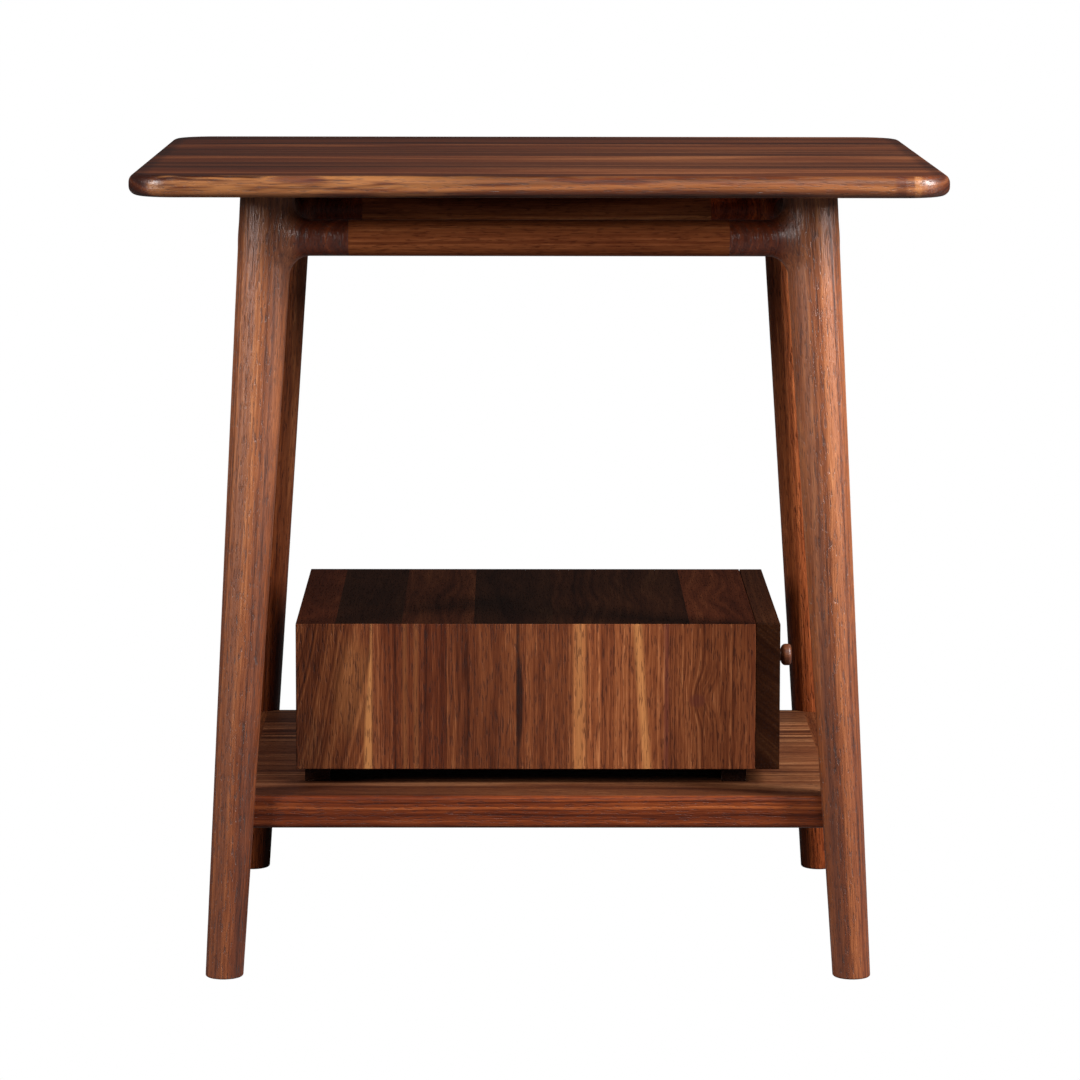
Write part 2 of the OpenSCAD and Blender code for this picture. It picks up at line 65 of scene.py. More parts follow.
class Shader:
    """A material whose node sums are written as short calls."""

    def __init__(self, name):
        self.material = bpy.data.materials.new(name)
        self.material.use_nodes = True
        self.tree = self.material.node_tree
        self.tree.nodes.clear()
        self.out = self.node("ShaderNodeOutputMaterial")
        self.surface = self.node("ShaderNodeBsdfPrincipled")
        self.link(self.surface.outputs["BSDF"], self.out.inputs["Surface"])

    def node(self, kind, **settings):
        made = self.tree.nodes.new(kind)
        for key, value in settings.items():
            setattr(made, key, value)
        return made

    def link(self, source, socket):
        self.tree.links.new(source, socket)

    def put(self, socket, value):
        if isinstance(value, bpy.types.NodeSocket):
            self.link(value, socket)
        else:
            socket.default_value = value

    def math(self, operation, a, b=0.0, c=0.0, clamp=False):
        made = self.node("ShaderNodeMath", operation=operation, use_clamp=clamp)
        for socket, value in zip(made.inputs, (a, b, c)):
            self.put(socket, value)
        return made.outputs[0]

    def add(self, a, b):
        return self.math("ADD", a, b)

    def times(self, a, b):
        return self.math("MULTIPLY", a, b)

    def scaled(self, a, factor, offset=0.0):
        return self.math("MULTIPLY_ADD", a, factor, offset)

    def span(self, value, low, high, to_low=0.0, to_high=1.0, smooth=True):
        """value's place between low and high, as a number from to_low to to_high."""
        made = self.node("ShaderNodeMapRange", interpolation_type="SMOOTHSTEP" if smooth else "LINEAR")
        for socket, number in zip(("Value", "From Min", "From Max", "To Min", "To Max"),
                                  (value, low, high, to_low, to_high)):
            self.put(made.inputs[socket], number)
        return made.outputs["Result"]

    def outside(self, mask):
        """1 where the mask is 0, and 0 where it is 1."""
        return self.span(mask, 1.0, 0.0)

    def point(self, x, y, z):
        made = self.node("ShaderNodeCombineXYZ")
        for socket, value in zip(made.inputs, (x, y, z)):
            self.put(socket, value)
        return made.outputs[0]

    def dot(self, vector, axis):
        made = self.node("ShaderNodeVectorMath", operation="DOT_PRODUCT")
        self.link(vector, made.inputs[0])
        made.inputs[1].default_value = axis
        return made.outputs["Value"]

    def noise(self, point, scale=1.0, detail=2.0, roughness=0.5, distortion=0.0):
        made = self.node("ShaderNodeTexNoise", noise_dimensions="3D")
        self.put(made.inputs["Vector"], point)
        for key, value in (("Scale", scale), ("Detail", detail), ("Roughness", roughness),
                           ("Distortion", distortion)):
            self.put(made.inputs[key], value)
        return made.outputs["Fac"]

    def noise_line(self, place, scale=1.0, detail=2.0, roughness=0.5):
        made = self.node("ShaderNodeTexNoise", noise_dimensions="1D")
        for key, value in (("W", place), ("Scale", scale), ("Detail", detail), ("Roughness", roughness)):
            self.put(made.inputs[key], value)
        return made.outputs["Fac"]

    def ramp(self, factor, stops, steps=False):
        made = self.node("ShaderNodeValToRGB")
        ramp = made.color_ramp
        ramp.interpolation = "CONSTANT" if steps else "LINEAR"
        for n, (place, colour) in enumerate(stops):
            stop = ramp.elements[n] if n < 2 else ramp.elements.new(place)
            stop.position, stop.color = place, (*colour, 1.0)
        self.put(made.inputs[0], factor)
        return made.outputs[0]

    def mix(self, factor, a, b, blend="MIX"):
        made = self.node("ShaderNodeMix", data_type="RGBA", blend_type=blend)
        self.put(made.inputs[0], factor)
        for socket, value in ((made.inputs[6], a), (made.inputs[7], b)):
            self.put(socket, value if isinstance(value, bpy.types.NodeSocket) else (*value, 1.0))
        return made.outputs[2]

    def split(self, colour):
        made = self.node("ShaderNodeSeparateColor")
        self.link(colour, made.inputs[0])
        return made.outputs

    def bump(self, height, strength, distance):
        made = self.node("ShaderNodeBump")
        self.put(made.inputs["Height"], height)
        made.inputs["Strength"].default_value = strength
        made.inputs["Distance"].default_value = distance
        self.link(made.outputs[0], self.surface.inputs["Normal"])


# ---------------------------------------------------------------- walnut

# Colours of the figure from its darkest to its palest part, and of the marks painted over it.
TONES = [(0.035, 0.0075, 0.0025), (0.085, 0.021, 0.007), (0.15, 0.043, 0.014), (0.27, 0.10, 0.037)]
LEG_TONES = [(0.04, 0.011, 0.005), (0.12, 0.035, 0.013), (0.20, 0.068, 0.026), (0.33, 0.135, 0.055)]
DRAWER_TONES = [(0.36, 0.21, 0.11), (0.47, 0.29, 0.16), (0.55, 0.36, 0.21), (0.62, 0.43, 0.27)]
HONEY = (0.40, 0.17, 0.055)
PURPLE = (0.075, 0.018, 0.012)
BARK = (0.018, 0.005, 0.003)
PORE_SHADE = (0.34, 0.27, 0.24)
RED_SHADE = (1.12, 0.82, 0.80)


class Wood(Shader):
    """Wood whose figure runs through the solid: rings round a pith, drawn out along the grain.

    axes are the directions across the face, into the board and along the grain. boards are
    (place where the board starts, seed, brightness, redness) across the face, in millimetres."""

    def __init__(self, name, axes, seed=0.0, boards=None, board_axis=0, origin=Vector((0, 0, 0))):
        super().__init__(name)
        here = self.node("ShaderNodeTexCoord").outputs["Object"]
        self.local = [self.scaled(self.dot(here, axis), 1 / MM, -origin.dot(axis)) for axis in axes]
        self.boards = boards
        shift = seed
        if boards:
            start, end = boards[0][0], boards[-1][0]
            place = self.span(self.local[board_axis], start, end, smooth=False)
            stops = [((first - start) / (end - start), (number, tone / 2, red))
                     for first, number, tone, red in boards[:-1]]
            sockets = self.split(self.ramp(place, stops, steps=True))
            shift = self.add(sockets[0], seed)
            self.tone, self.red = self.scaled(sockets[1], 2.0), sockets[2]
        self.seed = shift
        self.across, self.deep, self.along = (
            self.add(c, self.times(shift, d)) for c, d in zip(self.local, (0.0, 0.0, 1310.0)))

    def stretched(self, width, length, offset=0.0):
        """The point with one unit as width across the grain and length along it."""
        sizes = (self.across, width), (self.deep, width), (self.along, length)
        return self.point(*(self.scaled(place, 1 / size, offset) for place, size in sizes))

    def waver(self, width, length, amount, offset=0.0, detail=1.0):
        """A slow wave between -amount and amount."""
        return self.scaled(self.noise(self.stretched(width, length, offset), detail=detail),
                           2 * amount, -amount)

    def rings(self, pith=(-120.0, 60.0), spread=400.0, slope=0.0, wander=4.0, ripple=0.5,
              length=260.0, extra=None):
        """Distance from the pith in millimetres, wavering along the grain."""
        pith_across = self.scaled(self.seed, spread, pith[0] - spread / 2)
        u = self.math("SUBTRACT", self.across, pith_across)
        v = self.add(self.scaled(self.deep, 1.0, pith[1]), self.scaled(self.along, slope))
        distance = self.math("SQRT", self.add(self.times(u, u), self.times(v, v)))
        distance = self.add(distance, self.waver(45.0, length, wander))
        distance = self.add(distance, self.waver(9.0, 70.0, ripple, offset=17.0))
        return self.add(distance, extra) if extra is not None else distance

    def figure(self, distance, band=14.0, line=2.4, shares=(0.4, 0.22, 0.38, 0.25), fibre=(1.3, 34.0)):
        """Brightness of the figure, near 0.5. The shares are for bands, lines, fibre and clouds."""
        bands = self.noise_line(self.add(self.scaled(distance, 1 / band), self.scaled(self.seed, 97.0)),
                                detail=2.0, roughness=0.6)
        lines = self.noise_line(self.scaled(distance, 1 / line, 31.0), detail=1.0)
        strands = self.noise(self.stretched(*fibre), detail=3.0, roughness=0.65)
        cloud = self.noise(self.stretched(34.0, 190.0, 5.0), detail=1.0)
        value = 0.5
        for part, share in zip((bands, lines, strands, cloud), shares):
            value = self.add(self.scaled(part, share, -0.5 * share), value)
        return value

    def blob(self, places, sizes, fade=0.35, wander=0.0):
        """1 inside an ellipsoid given in the wood's own directions, fading out at its edge."""
        total = 0.0
        for local, place, size in zip(self.local, places, sizes):
            if size:
                offset = self.scaled(local, 1 / size, -place / size)
                total = self.add(self.times(offset, offset), total)
        if wander:
            total = self.add(self.waver(14.0, 60.0, wander, offset=41.0), total)
        return self.span(total, 1 + fade, 1 - fade)

    def streak(self, centre, half, bend=0.0, sway=1.0, fade=0.5):
        """1 in a streak along the grain, centre and half wide across the face."""
        line = self.add(self.scaled(self.local[2], bend, centre),
                        self.waver(30.0, 90.0, sway, offset=centre))
        off_line = self.math("ABSOLUTE", self.math("SUBTRACT", self.local[0], line))
        return self.span(off_line, half * (1 + fade), half * (1 - fade))

    def pores(self, size=0.8, length=8.0, share=0.58):
        """1 in the open pores, which are short dark dashes along the grain."""
        spots = self.noise(self.stretched(size, length, 3.0), detail=1.0, roughness=0.4)
        return self.span(spots, share, share + 0.1)

    def finish(self, value, tones=TONES, pore=0.6, gain=1.0, roughness=0.45, contrast=0.65, pore_size=0.8,
               overlays=(), shades=(), polish=0.15, relief=0.3):
        """Paints the figure, the pores and the satin oil.

        Overlays are (mask, colour) painted over the figure. Shades are (mask, factor for the colour)."""
        reach = 0.15 / contrast
        place = self.span(value, 0.5 - reach, 0.5 + reach, smooth=False)
        share = 1 / (len(tones) - 1)
        colour = self.ramp(place, [(n * share, tone) for n, tone in enumerate(tones)])
        for mask, tint in overlays:
            colour = self.mix(mask, colour, tint)
        for mask, tint in shades:
            colour = self.mix(mask, colour, self.mix(1.0, colour, tint, "MULTIPLY"))
        if self.boards:
            colour = self.mix(self.red, colour, self.mix(1.0, colour, RED_SHADE, "MULTIPLY"))
        holes = self.pores(pore_size)
        colour = self.mix(self.times(holes, pore), colour, self.mix(1.0, colour, PORE_SHADE, "MULTIPLY"))
        strength = self.node("ShaderNodeVectorMath", operation="SCALE")
        self.link(colour, strength.inputs[0])
        self.put(strength.inputs["Scale"], self.scaled(self.tone, gain) if self.boards else gain)
        self.link(strength.outputs[0], self.surface.inputs["Base Color"])
        self.link(self.add(self.scaled(holes, 0.25, roughness), self.scaled(value, -0.1)),
                  self.surface.inputs["Roughness"])
        self.surface.inputs["Specular IOR Level"].default_value = polish
        self.bump(self.add(self.scaled(holes, -0.6), self.scaled(value, 2.0)), 0.8, relief * MM)
        return self.material


# ---------------------------------------------------------------- materials of the pieces

TOP_BOARDS = [
    (-236.0, 0.13, 1.0, 0.2), (-158.0, 0.71, 0.86, 0.0), (-80.0, 0.34, 1.08, 0.1),
    (-12.0, 0.92, 0.88, 0.0), (62.0, 0.55, 1.12, 0.0), (128.0, 0.27, 0.85, 0.3),
    (190.0, 0.80, 0.96, 0.0), (236.0, 0, 0, 0)]
# The front board's low brightness is painted shade, and the higher brightness of most boards behind it is
# painted light.
SHELF_BOARDS = [
    (-172.0, 0.22, 0.72, 0.2), (-122.0, 0.64, 1.15, 0.0), (-60.0, 0.37, 1.3, 0.0), (0.0, 0.9, 1.2, 0.0),
    (56.0, 0.48, 1.35, 0.0), (112.0, 0.15, 0.95, 0.0), (172.0, 0, 0, 0)]


def tabletop_wood():
    """Boards along the top. Its front edge is honey-coloured at the left, with a dark lens in it. Painted
    shade darkens the lower part of the front edge and the left of the top face.
    """
    wood = Wood("tabletop_walnut", (Y, Z, X), seed=0.4, boards=TOP_BOARDS)
    value = wood.figure(wood.rings(spread=700, wander=9.0, length=420.0), band=16.0, line=4.5,
                        shares=(0.6, 0.5, 0.25, 0.25))
    front = wood.span(wood.local[0], -227.0, -231.0)
    face = wood.outside(front)
    left = wood.span(wood.local[2], 10.0, -160.0)
    # far_left also carries painted shade: the top face darkens towards the left, which gets less light.
    far_left = wood.span(wood.local[2], 150.0, -300.0)
    patches = wood.span(wood.noise(wood.stretched(5.0, 60.0, 9.0), detail=2.0), 0.38, 0.58)
    honey = wood.times(front, wood.times(patches, wood.span(left, 0.0, 1.0, 0.2, 0.65)))
    lens = wood.times(front, wood.blob((0, 603.0, -177.0), (0, 3.0, 19.0), fade=0.7, wander=0.7))
    streak = wood.times(front, wood.times(wood.blob((0, 0, 274.0), (0, 0, 2.6), fade=0.9), 0.6))
    dark_ends = [wood.times(front, wood.times(wood.blob((0, 0, x), (0, 0, half), fade=0.9), 0.55))
                 for x, half in ((262.0, 4.0), (285.0, 4.0))]
    end_grain = wood.span(wood.math("ABSOLUTE", wood.local[2]), 283.0, 291.0)
    # Painted shade: the lower part of the front edge is darkened, standing in for shade below its rounding.
    painted_shade_lower_edge = wood.times(front, wood.span(wood.local[1], 597.0, 590.0))
    return wood.finish(value, gain=0.82, contrast=0.8, polish=0.45, roughness=0.4,
                       overlays=((honey, HONEY), (wood.times(lens, 0.75), PURPLE), (streak, HONEY),
                                 *((mask, PURPLE) for mask in dark_ends)),
                       shades=((end_grain, (0.55, 0.5, 0.5)), (painted_shade_lower_edge, (0.7, 0.62, 0.58)),
                               (face, (0.98, 0.92, 0.86)), (wood.times(far_left, face), (0.62, 0.5, 0.42))))


def plain_walnut(name, axes, seed, gain=1.0, **looks):
    """One piece of walnut without boards in it."""
    wood = Wood(name, axes, seed=seed)
    value = wood.figure(wood.rings(pith=(-60.0, 40.0), spread=0.0))
    return wood.finish(value, gain=gain, **looks)


CABINET_FRONT_BOARDS = [
    (-183.5, 0.61, 0.85, 0.10), (-125.4, 0.17, 0.55, 0.60), (-70.0, 0.83, 0.74, 0.15),
    (-13.0, 0.42, 0.84, 0.10), (25.6, 0.05, 1.22, 0.0), (75.0, 0.30, 1.35, 0.0),
    (110.0, 0.95, 1.18, 0.2), (165.0, 0, 0, 0)]
CABINET_TOP_BOARDS = [
    (-183.5, 0.31, 1.30, 0.8), (-154.0, 0.77, 0.50, 0.0), (-104.0, 0.13, 1.15, 0.2),
    (-50.0, 0.52, 0.40, 0.0), (10.0, 0.25, 0.58, 0.1), (68.0, 0.70, 0.58, 0.1),
    (114.0, 0.95, 1.40, 0.7), (165.0, 0, 0, 0)]


def cabinet_front_wood():
    """Seven upright boards, some with pale sapwood, one with a knot and one with leaning grain."""
    wood = Wood("cabinet_front_walnut", (X, Y, Z), boards=CABINET_FRONT_BOARDS)
    height = wood.scaled(wood.local[2], 1.0, -CABINET_Z0)
    first = wood.span(wood.local[0], -125.0, -127.0)
    far_left = wood.span(wood.local[0], -150.0, -183.0)
    lean = wood.times(first, wood.times(height, wood.scaled(far_left, 0.12, 0.14)))
    du, dz = (wood.scaled(wood.local[n], 1 / size, -place / size) for n, place, size in
              ((0, 126.0, 12.0), (2, 202.0, 15.0)))
    near = wood.math("EXPONENT", wood.scaled(wood.add(wood.times(du, du), wood.times(dz, dz)), -1.0))
    value = wood.figure(wood.rings(spread=300.0, wander=1.8, ripple=0.5, length=90.0,
                                   extra=wood.add(lean, wood.times(near, 7.0))),
                        band=11.0, line=2.2, shares=(0.38, 0.32, 0.6, 0.25), fibre=(1.0, 26.0))
    lower = wood.span(height, 112.0, 10.0)
    sapwood = wood.times(first, wood.span(wood.add(wood.local[0], wood.scaled(lower, 5.0)), -128.0, -125.5))
    figured = wood.times(wood.blob((-140.0, 0, 210.0), (14.0, 0, 34.0), fade=0.8, wander=0.5), 0.15)
    swirl = wood.blob((-183.0, 0, 165.0), (22.0, 0, 30.0), fade=0.8, wander=0.5)
    overlays = (
        (wood.times(sapwood, 0.75), HONEY), (figured, HONEY), (wood.times(swirl, 0.35), BARK),
        (wood.times(wood.streak(-101.0, 1.6, fade=0.9), 0.3), HONEY),
        (wood.times(wood.streak(-92.5, 1.6, fade=0.9), 0.35), HONEY),
        (wood.times(wood.streak(-15.0, 1.2, sway=2.0), 0.7), BARK),
        (wood.times(wood.blob((-14.0, 0, 200.0), (2.6, 0, 34.0), fade=0.5, wander=0.4), 0.9), BARK),
        (wood.times(wood.streak(31.5, 4.0, sway=1.0, fade=0.9), 0.35), HONEY),
        (wood.times(wood.streak(93.0, 2.8, bend=-0.07, sway=1.5, fade=0.8), 0.5), HONEY),
        (wood.times(wood.streak(97.0, 1.8, sway=1.0), 0.6), PURPLE),
        (wood.times(wood.blob((121.0, 0, 200.0), (6.0, 0, 5.0), fade=0.7, wander=0.4), 0.6), PURPLE),
    )
    return wood.finish(value, contrast=0.72, pore=0.75, overlays=overlays)


def cabinet_wood(name, axes, gain, boards):
    """Boards side by side with a coarser figure, for the cabinet's other three long panels."""
    wood = Wood(name, axes, boards=boards)
    value = wood.figure(wood.rings(spread=300.0, wander=9.0, length=140.0), band=10.0, line=3.0)
    return wood.finish(value, gain=gain, polish=0.05)


def leg_wood(name, sx, sy, seed, gain):
    """A leg's wood, its grain along the leg. The branches are darker, and painted shade darkens the lower
    end towards the foot.
    """
    tilt = (HEAD - FOOT).normalized()
    grain = Vector((tilt.x * sx, tilt.y * sy, tilt.z))
    across = Y.cross(grain).normalized()
    wood = Wood(name, (across, grain.cross(across), grain), seed=seed,
                origin=Vector((FOOT.x * sx, FOOT.y * sy, 0)))
    u, v, _ = wood.local
    off_axis = wood.math("SQRT", wood.add(wood.times(u, u), wood.times(v, v)))
    branch = wood.span(off_axis, HEAD_R - 2.0, HEAD_R + 9.0)
    # Painted shade: the leg darkens towards the foot, standing in for the light fading lower down.
    lower = wood.span(wood.local[2], 520.0, 30.0)
    value = wood.figure(wood.rings(pith=(-260.0 * sx, 160.0), spread=0.0, wander=4.0, length=320.0),
                        band=9.0, line=2.4, shares=(0.45, 0.3, 0.55, 0.2), fibre=(1.1, 28.0))
    front = sy < 0
    return wood.finish(value, tones=LEG_TONES if front else TONES, gain=gain, pore=0.75, pore_size=1.0,
                       polish=0.55 if front else 0.1, relief=0.5, roughness=0.38,
                       shades=((branch, (0.44, 0.22, 0.11)), (lower, (0.53, 0.41, 0.33))))


def shelf_wood():
    """Boards along the shelf, with a redder front edge. Painted shade darkens it towards the left, and a
    greyer tint on its top face is a painted sheen.
    """
    wood = Wood("shelf_walnut", (Y, Z, X), seed=0.2, boards=SHELF_BOARDS)
    value = wood.figure(wood.rings(spread=500, wander=6.0, length=300.0), band=9.0, line=2.4,
                        shares=(0.6, 0.45, 0.4, 0.25))
    # Painted shade: the shelf darkens towards the left, where the cabinet keeps light off.
    left = wood.span(wood.local[2], 20.0, -200.0)
    edge = wood.span(wood.local[0], -167.5, -169.5)
    # The greyer tint on the top face is a painted sheen, standing in for the backdrop's reflection.
    face = wood.outside(edge)
    return wood.finish(value, gain=0.93, contrast=0.85, polish=0.2,
                       shades=((left, (0.66, 0.6, 0.62)), (face, (0.88, 1.04, 1.2)),
                               (edge, (1.35, 1.0, 0.7))))


def drawer_wood(name, axes, seed):
    """The pale, close-grained wood of the drawer's box, the runners, the stop and the dowels."""
    wood = Wood(name, axes, seed=seed)
    value = wood.figure(wood.rings(pith=(-80.0, 90.0), spread=0.0))
    return wood.finish(value, tones=DRAWER_TONES, pore=0.12, roughness=0.5)


def steel():
    shader = Shader("screw_steel")
    here = shader.node("ShaderNodeTexCoord").outputs["Object"]
    grain = shader.noise(here, scale=900.0, detail=3.0)
    shader.surface.inputs["Base Color"].default_value = (0.56, 0.56, 0.57, 1)
    shader.surface.inputs["Metallic"].default_value = 1.0
    shader.link(shader.scaled(grain, 0.25, 0.25), shader.surface.inputs["Roughness"])
    return shader.material


# ---------------------------------------------------------------- meshes

def add_piece(name, mesh, node, material):
    """A new piece that stands for a CAD node and moves with it."""
    piece = bpy.data.objects.new(name, mesh)
    bpy.context.scene.collection.objects.link(piece)
    mesh.materials.clear()
    mesh.materials.append(material)
    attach(piece, BODIES[node])
    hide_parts(node)
    return piece


def union_round(a, b, radius):
    """Distance to two joined solids, with a fillet of that radius between them."""
    u, v = np.maximum(radius - a, 0), np.maximum(radius - b, 0)
    return np.maximum(radius, np.minimum(a, b)) - np.sqrt(u * u + v * v)


def leg_distance(p):
    """Distance from points p to the +X +Y leg's surface, with its ends left open."""
    foot, head = np.array(FOOT), np.array(HEAD)
    length = np.linalg.norm(head - foot)
    axis = (head - foot) / length
    along = (p - foot) @ axis
    radial = np.linalg.norm(p - foot - along[:, None] * axis, axis=1)
    shaft = radial - (FOOT_R + (HEAD_R - FOOT_R) * along / length)
    node = foot + (head - foot) * RAIL_Z / HEAD.z
    branches = []
    for run, side in ((0, 1), (1, 0)):
        past = np.maximum(p[:, run] - (node[run] - BRANCH_FILLET), 0)     # it starts inside the leg
        off_axis = (p[:, side] - node[side]) ** 2 + (p[:, 2] - RAIL_Z) ** 2
        branches.append(np.sqrt(off_axis + past ** 2) - RAIL_R)
    solid = union_round(shaft, branches[0], BRANCH_FILLET)
    return union_round(solid, branches[1], BRANCH_FILLET)


def surface_net(distance, low, high, step):
    """A quad mesh of the zero surface of distance: (points, quads)."""
    axes = [np.arange(a, b + step, step) for a, b in zip(low, high)]
    grid = np.stack(np.meshgrid(*axes, indexing="ij"), -1)
    shape = grid.shape[:3]
    value = distance(grid.reshape(-1, 3)).reshape(shape)
    inside = value < 0
    cells = tuple(n - 1 for n in shape)
    total, count = np.zeros((*cells, 3)), np.zeros(cells)
    corners = [(i, j, k) for i in (0, 1) for j in (0, 1) for k in (0, 1)]
    pairs = [(a, b) for a in corners for b in corners
             if sum(b) - sum(a) == 1 and all(q >= p for p, q in zip(a, b))]

    def corner(array, c):
        return array[c[0]:c[0] + cells[0], c[1]:c[1] + cells[1], c[2]:c[2] + cells[2]]

    for a, b in pairs:
        va, vb = corner(value, a), corner(value, b)
        cut = corner(inside, a) != corner(inside, b)
        share = np.where(cut, va / np.where(cut, va - vb, 1), 0)
        place = corner(grid, a) + share[..., None] * (corner(grid, b) - corner(grid, a))
        total += np.where(cut[..., None], place, 0)
        count += cut
    used = count > 0
    number = np.full(cells, -1)
    number[used] = np.arange(used.sum())
    points = total[used] / count[used][:, None]
    quads = []
    for run in range(3):
        near, far = inside, np.roll(inside, -1, run)
        crossing = near != far
        crossing[tuple(slice(-1, None) if n == run else slice(None) for n in range(3))] = False
        index = np.argwhere(crossing)
        one, two = (run + 1) % 3, (run + 2) % 3
        keep = np.all(index[:, [one, two]] > 0, 1) & np.all(index < np.array(cells), 1)
        index = index[keep]
        ring = []
        for shift in ((0, 0), (1, 0), (1, 1), (0, 1)):
            cell = index.copy()
            cell[:, one] -= shift[0]
            cell[:, two] -= shift[1]
            ring.append(number[tuple(cell.T)])
        ring = np.stack(ring, 1)
        flip = ~near[tuple(index.T)]
        ring[flip] = ring[flip][:, ::-1]
        quads.append(ring)
    return points, np.concatenate(quads)


def settle(points, distance, rounds=4, reach=0.05):
    """Moves points onto the zero surface."""
    for _ in range(rounds):
        here = distance(points)
        slope = np.stack([distance(points + reach * np.eye(3)[n]) - here for n in range(3)], 1) / reach
        points = points - slope * (here / np.maximum((slope ** 2).sum(1), 1e-6))[:, None]
    return points


def cut_flat(mesh, at, outward):
    """Cuts the mesh off at a plane and closes it. Gives the edges round the new face."""
    result = bmesh.ops.bisect_plane(mesh, geom=mesh.verts[:] + mesh.edges[:] + mesh.faces[:], plane_co=at,
                                    plane_no=outward, clear_outer=True, dist=1e-4)
    rim = [e for e in result["geom_cut"] if isinstance(e, bmesh.types.BMEdge)]
    bmesh.ops.contextual_create(mesh, geom=rim)
    return rim


def leg_mesh():
    """The +X +Y leg, in metres: a tapered shaft that flows into two branches."""
    node = FOOT + (HEAD - FOOT) * RAIL_Z / HEAD.z
    ends = [node.x - BRANCH_LEN, node.y - BRANCH_LEN]
    cell = 2.2
    past_branch, past_side, below, above = 5.3, 5.0, 6.3, 6.0      # how far the net reaches past the leg
    low = (ends[0] - past_branch, ends[1] - past_branch, -below)
    high = (FOOT.x + FOOT_R + past_side, FOOT.y + FOOT_R + past_side, HEAD.z + above)
    points, quads = surface_net(leg_distance, low, high, cell)
    points = settle(points, leg_distance)
    mesh = bmesh.new()
    made = [mesh.verts.new(p) for p in points]
    for quad in quads:
        mesh.faces.new([made[n] for n in quad])
    cut_flat(mesh, (0, 0, HEAD.z), (0, 0, 1))
    cut_flat(mesh, (ends[0], 0, 0), (-1, 0, 0))
    cut_flat(mesh, (0, ends[1], 0), (0, -1, 0))
    rim = cut_flat(mesh, (0, 0, 0), (0, 0, -1))
    bmesh.ops.bevel(mesh, geom=rim, offset=FOOT_EASE, segments=3, profile=0.5, affect="EDGES")
    bmesh.ops.recalc_face_normals(mesh, faces=mesh.faces[:])
    bmesh.ops.scale(mesh, vec=(MM, MM, MM), verts=mesh.verts[:])
    for vert in mesh.verts:
        vert.co.z = max(vert.co.z, 0.0)      # rounding leaves the foot a hair below the floor
    return mesh


def smooth_with_edges(mesh, angle=35.0):
    for polygon in mesh.polygons:
        polygon.use_smooth = True
    mesh.set_sharp_from_angle(angle=math.radians(angle))


def build_legs():
    """Four legs mirrored from one, each with its own wood."""
    shared = leg_mesh()
    # The rear right leg's high gain is painted light, standing in for warm light thrown back onto it.
    for name, sx, sy, seed, gain in (("front_left", -1, -1, 0.21, 1.35), ("front_right", 1, -1, 0.67, 1.45),
                                     ("rear_left", -1, 1, 0.88, 1.25), ("rear_right", 1, 1, 0.43, 2.6)):
        copy = shared.copy()
        bmesh.ops.transform(copy, matrix=Matrix.Diagonal((sx, sy, 1, 1)), verts=copy.verts[:])
        if sx * sy < 0:
            bmesh.ops.reverse_faces(copy, faces=copy.faces[:])
        mesh = bpy.data.meshes.new(f"{name}_leg_carved")
        copy.to_mesh(mesh)
        copy.free()
        smooth_with_edges(mesh)
        material = leg_wood(f"{name}_leg_walnut", sx, sy, seed, gain)
        add_piece(f"{name}_leg_carved", mesh, f"{name}_leg", material)
    shared.free()


def eased_mesh(node, ease):
    """A copy of a CAD node's mesh with its long outer edges rounded off."""
    shortest, sharpest = 9 * MM, math.radians(30)      # the edges of bores and screw holes stay as they are
    mesh = bmesh.new()
    mesh.from_mesh(NODES[node].data)
    bmesh.ops.remove_doubles(mesh, verts=mesh.verts[:], dist=1e-6)
    bmesh.ops.dissolve_limit(mesh, angle_limit=math.radians(1.0), verts=mesh.verts[:],
                             edges=mesh.edges[:])
    long_edges = [e for e in mesh.edges if e.calc_length() > shortest and len(e.link_faces) == 2
                  and e.calc_face_angle(0) > sharpest and e.is_convex]
    bmesh.ops.bevel(mesh, geom=long_edges, offset=ease, segments=2, profile=0.6, affect="EDGES",
                    clamp_overlap=True)
    bmesh.ops.recalc_face_normals(mesh, faces=mesh.faces[:])
    made = bpy.data.meshes.new(f"{node}_eased")
    mesh.to_mesh(made)
    mesh.free()
    smooth_with_edges(made, 50.0)
    return made


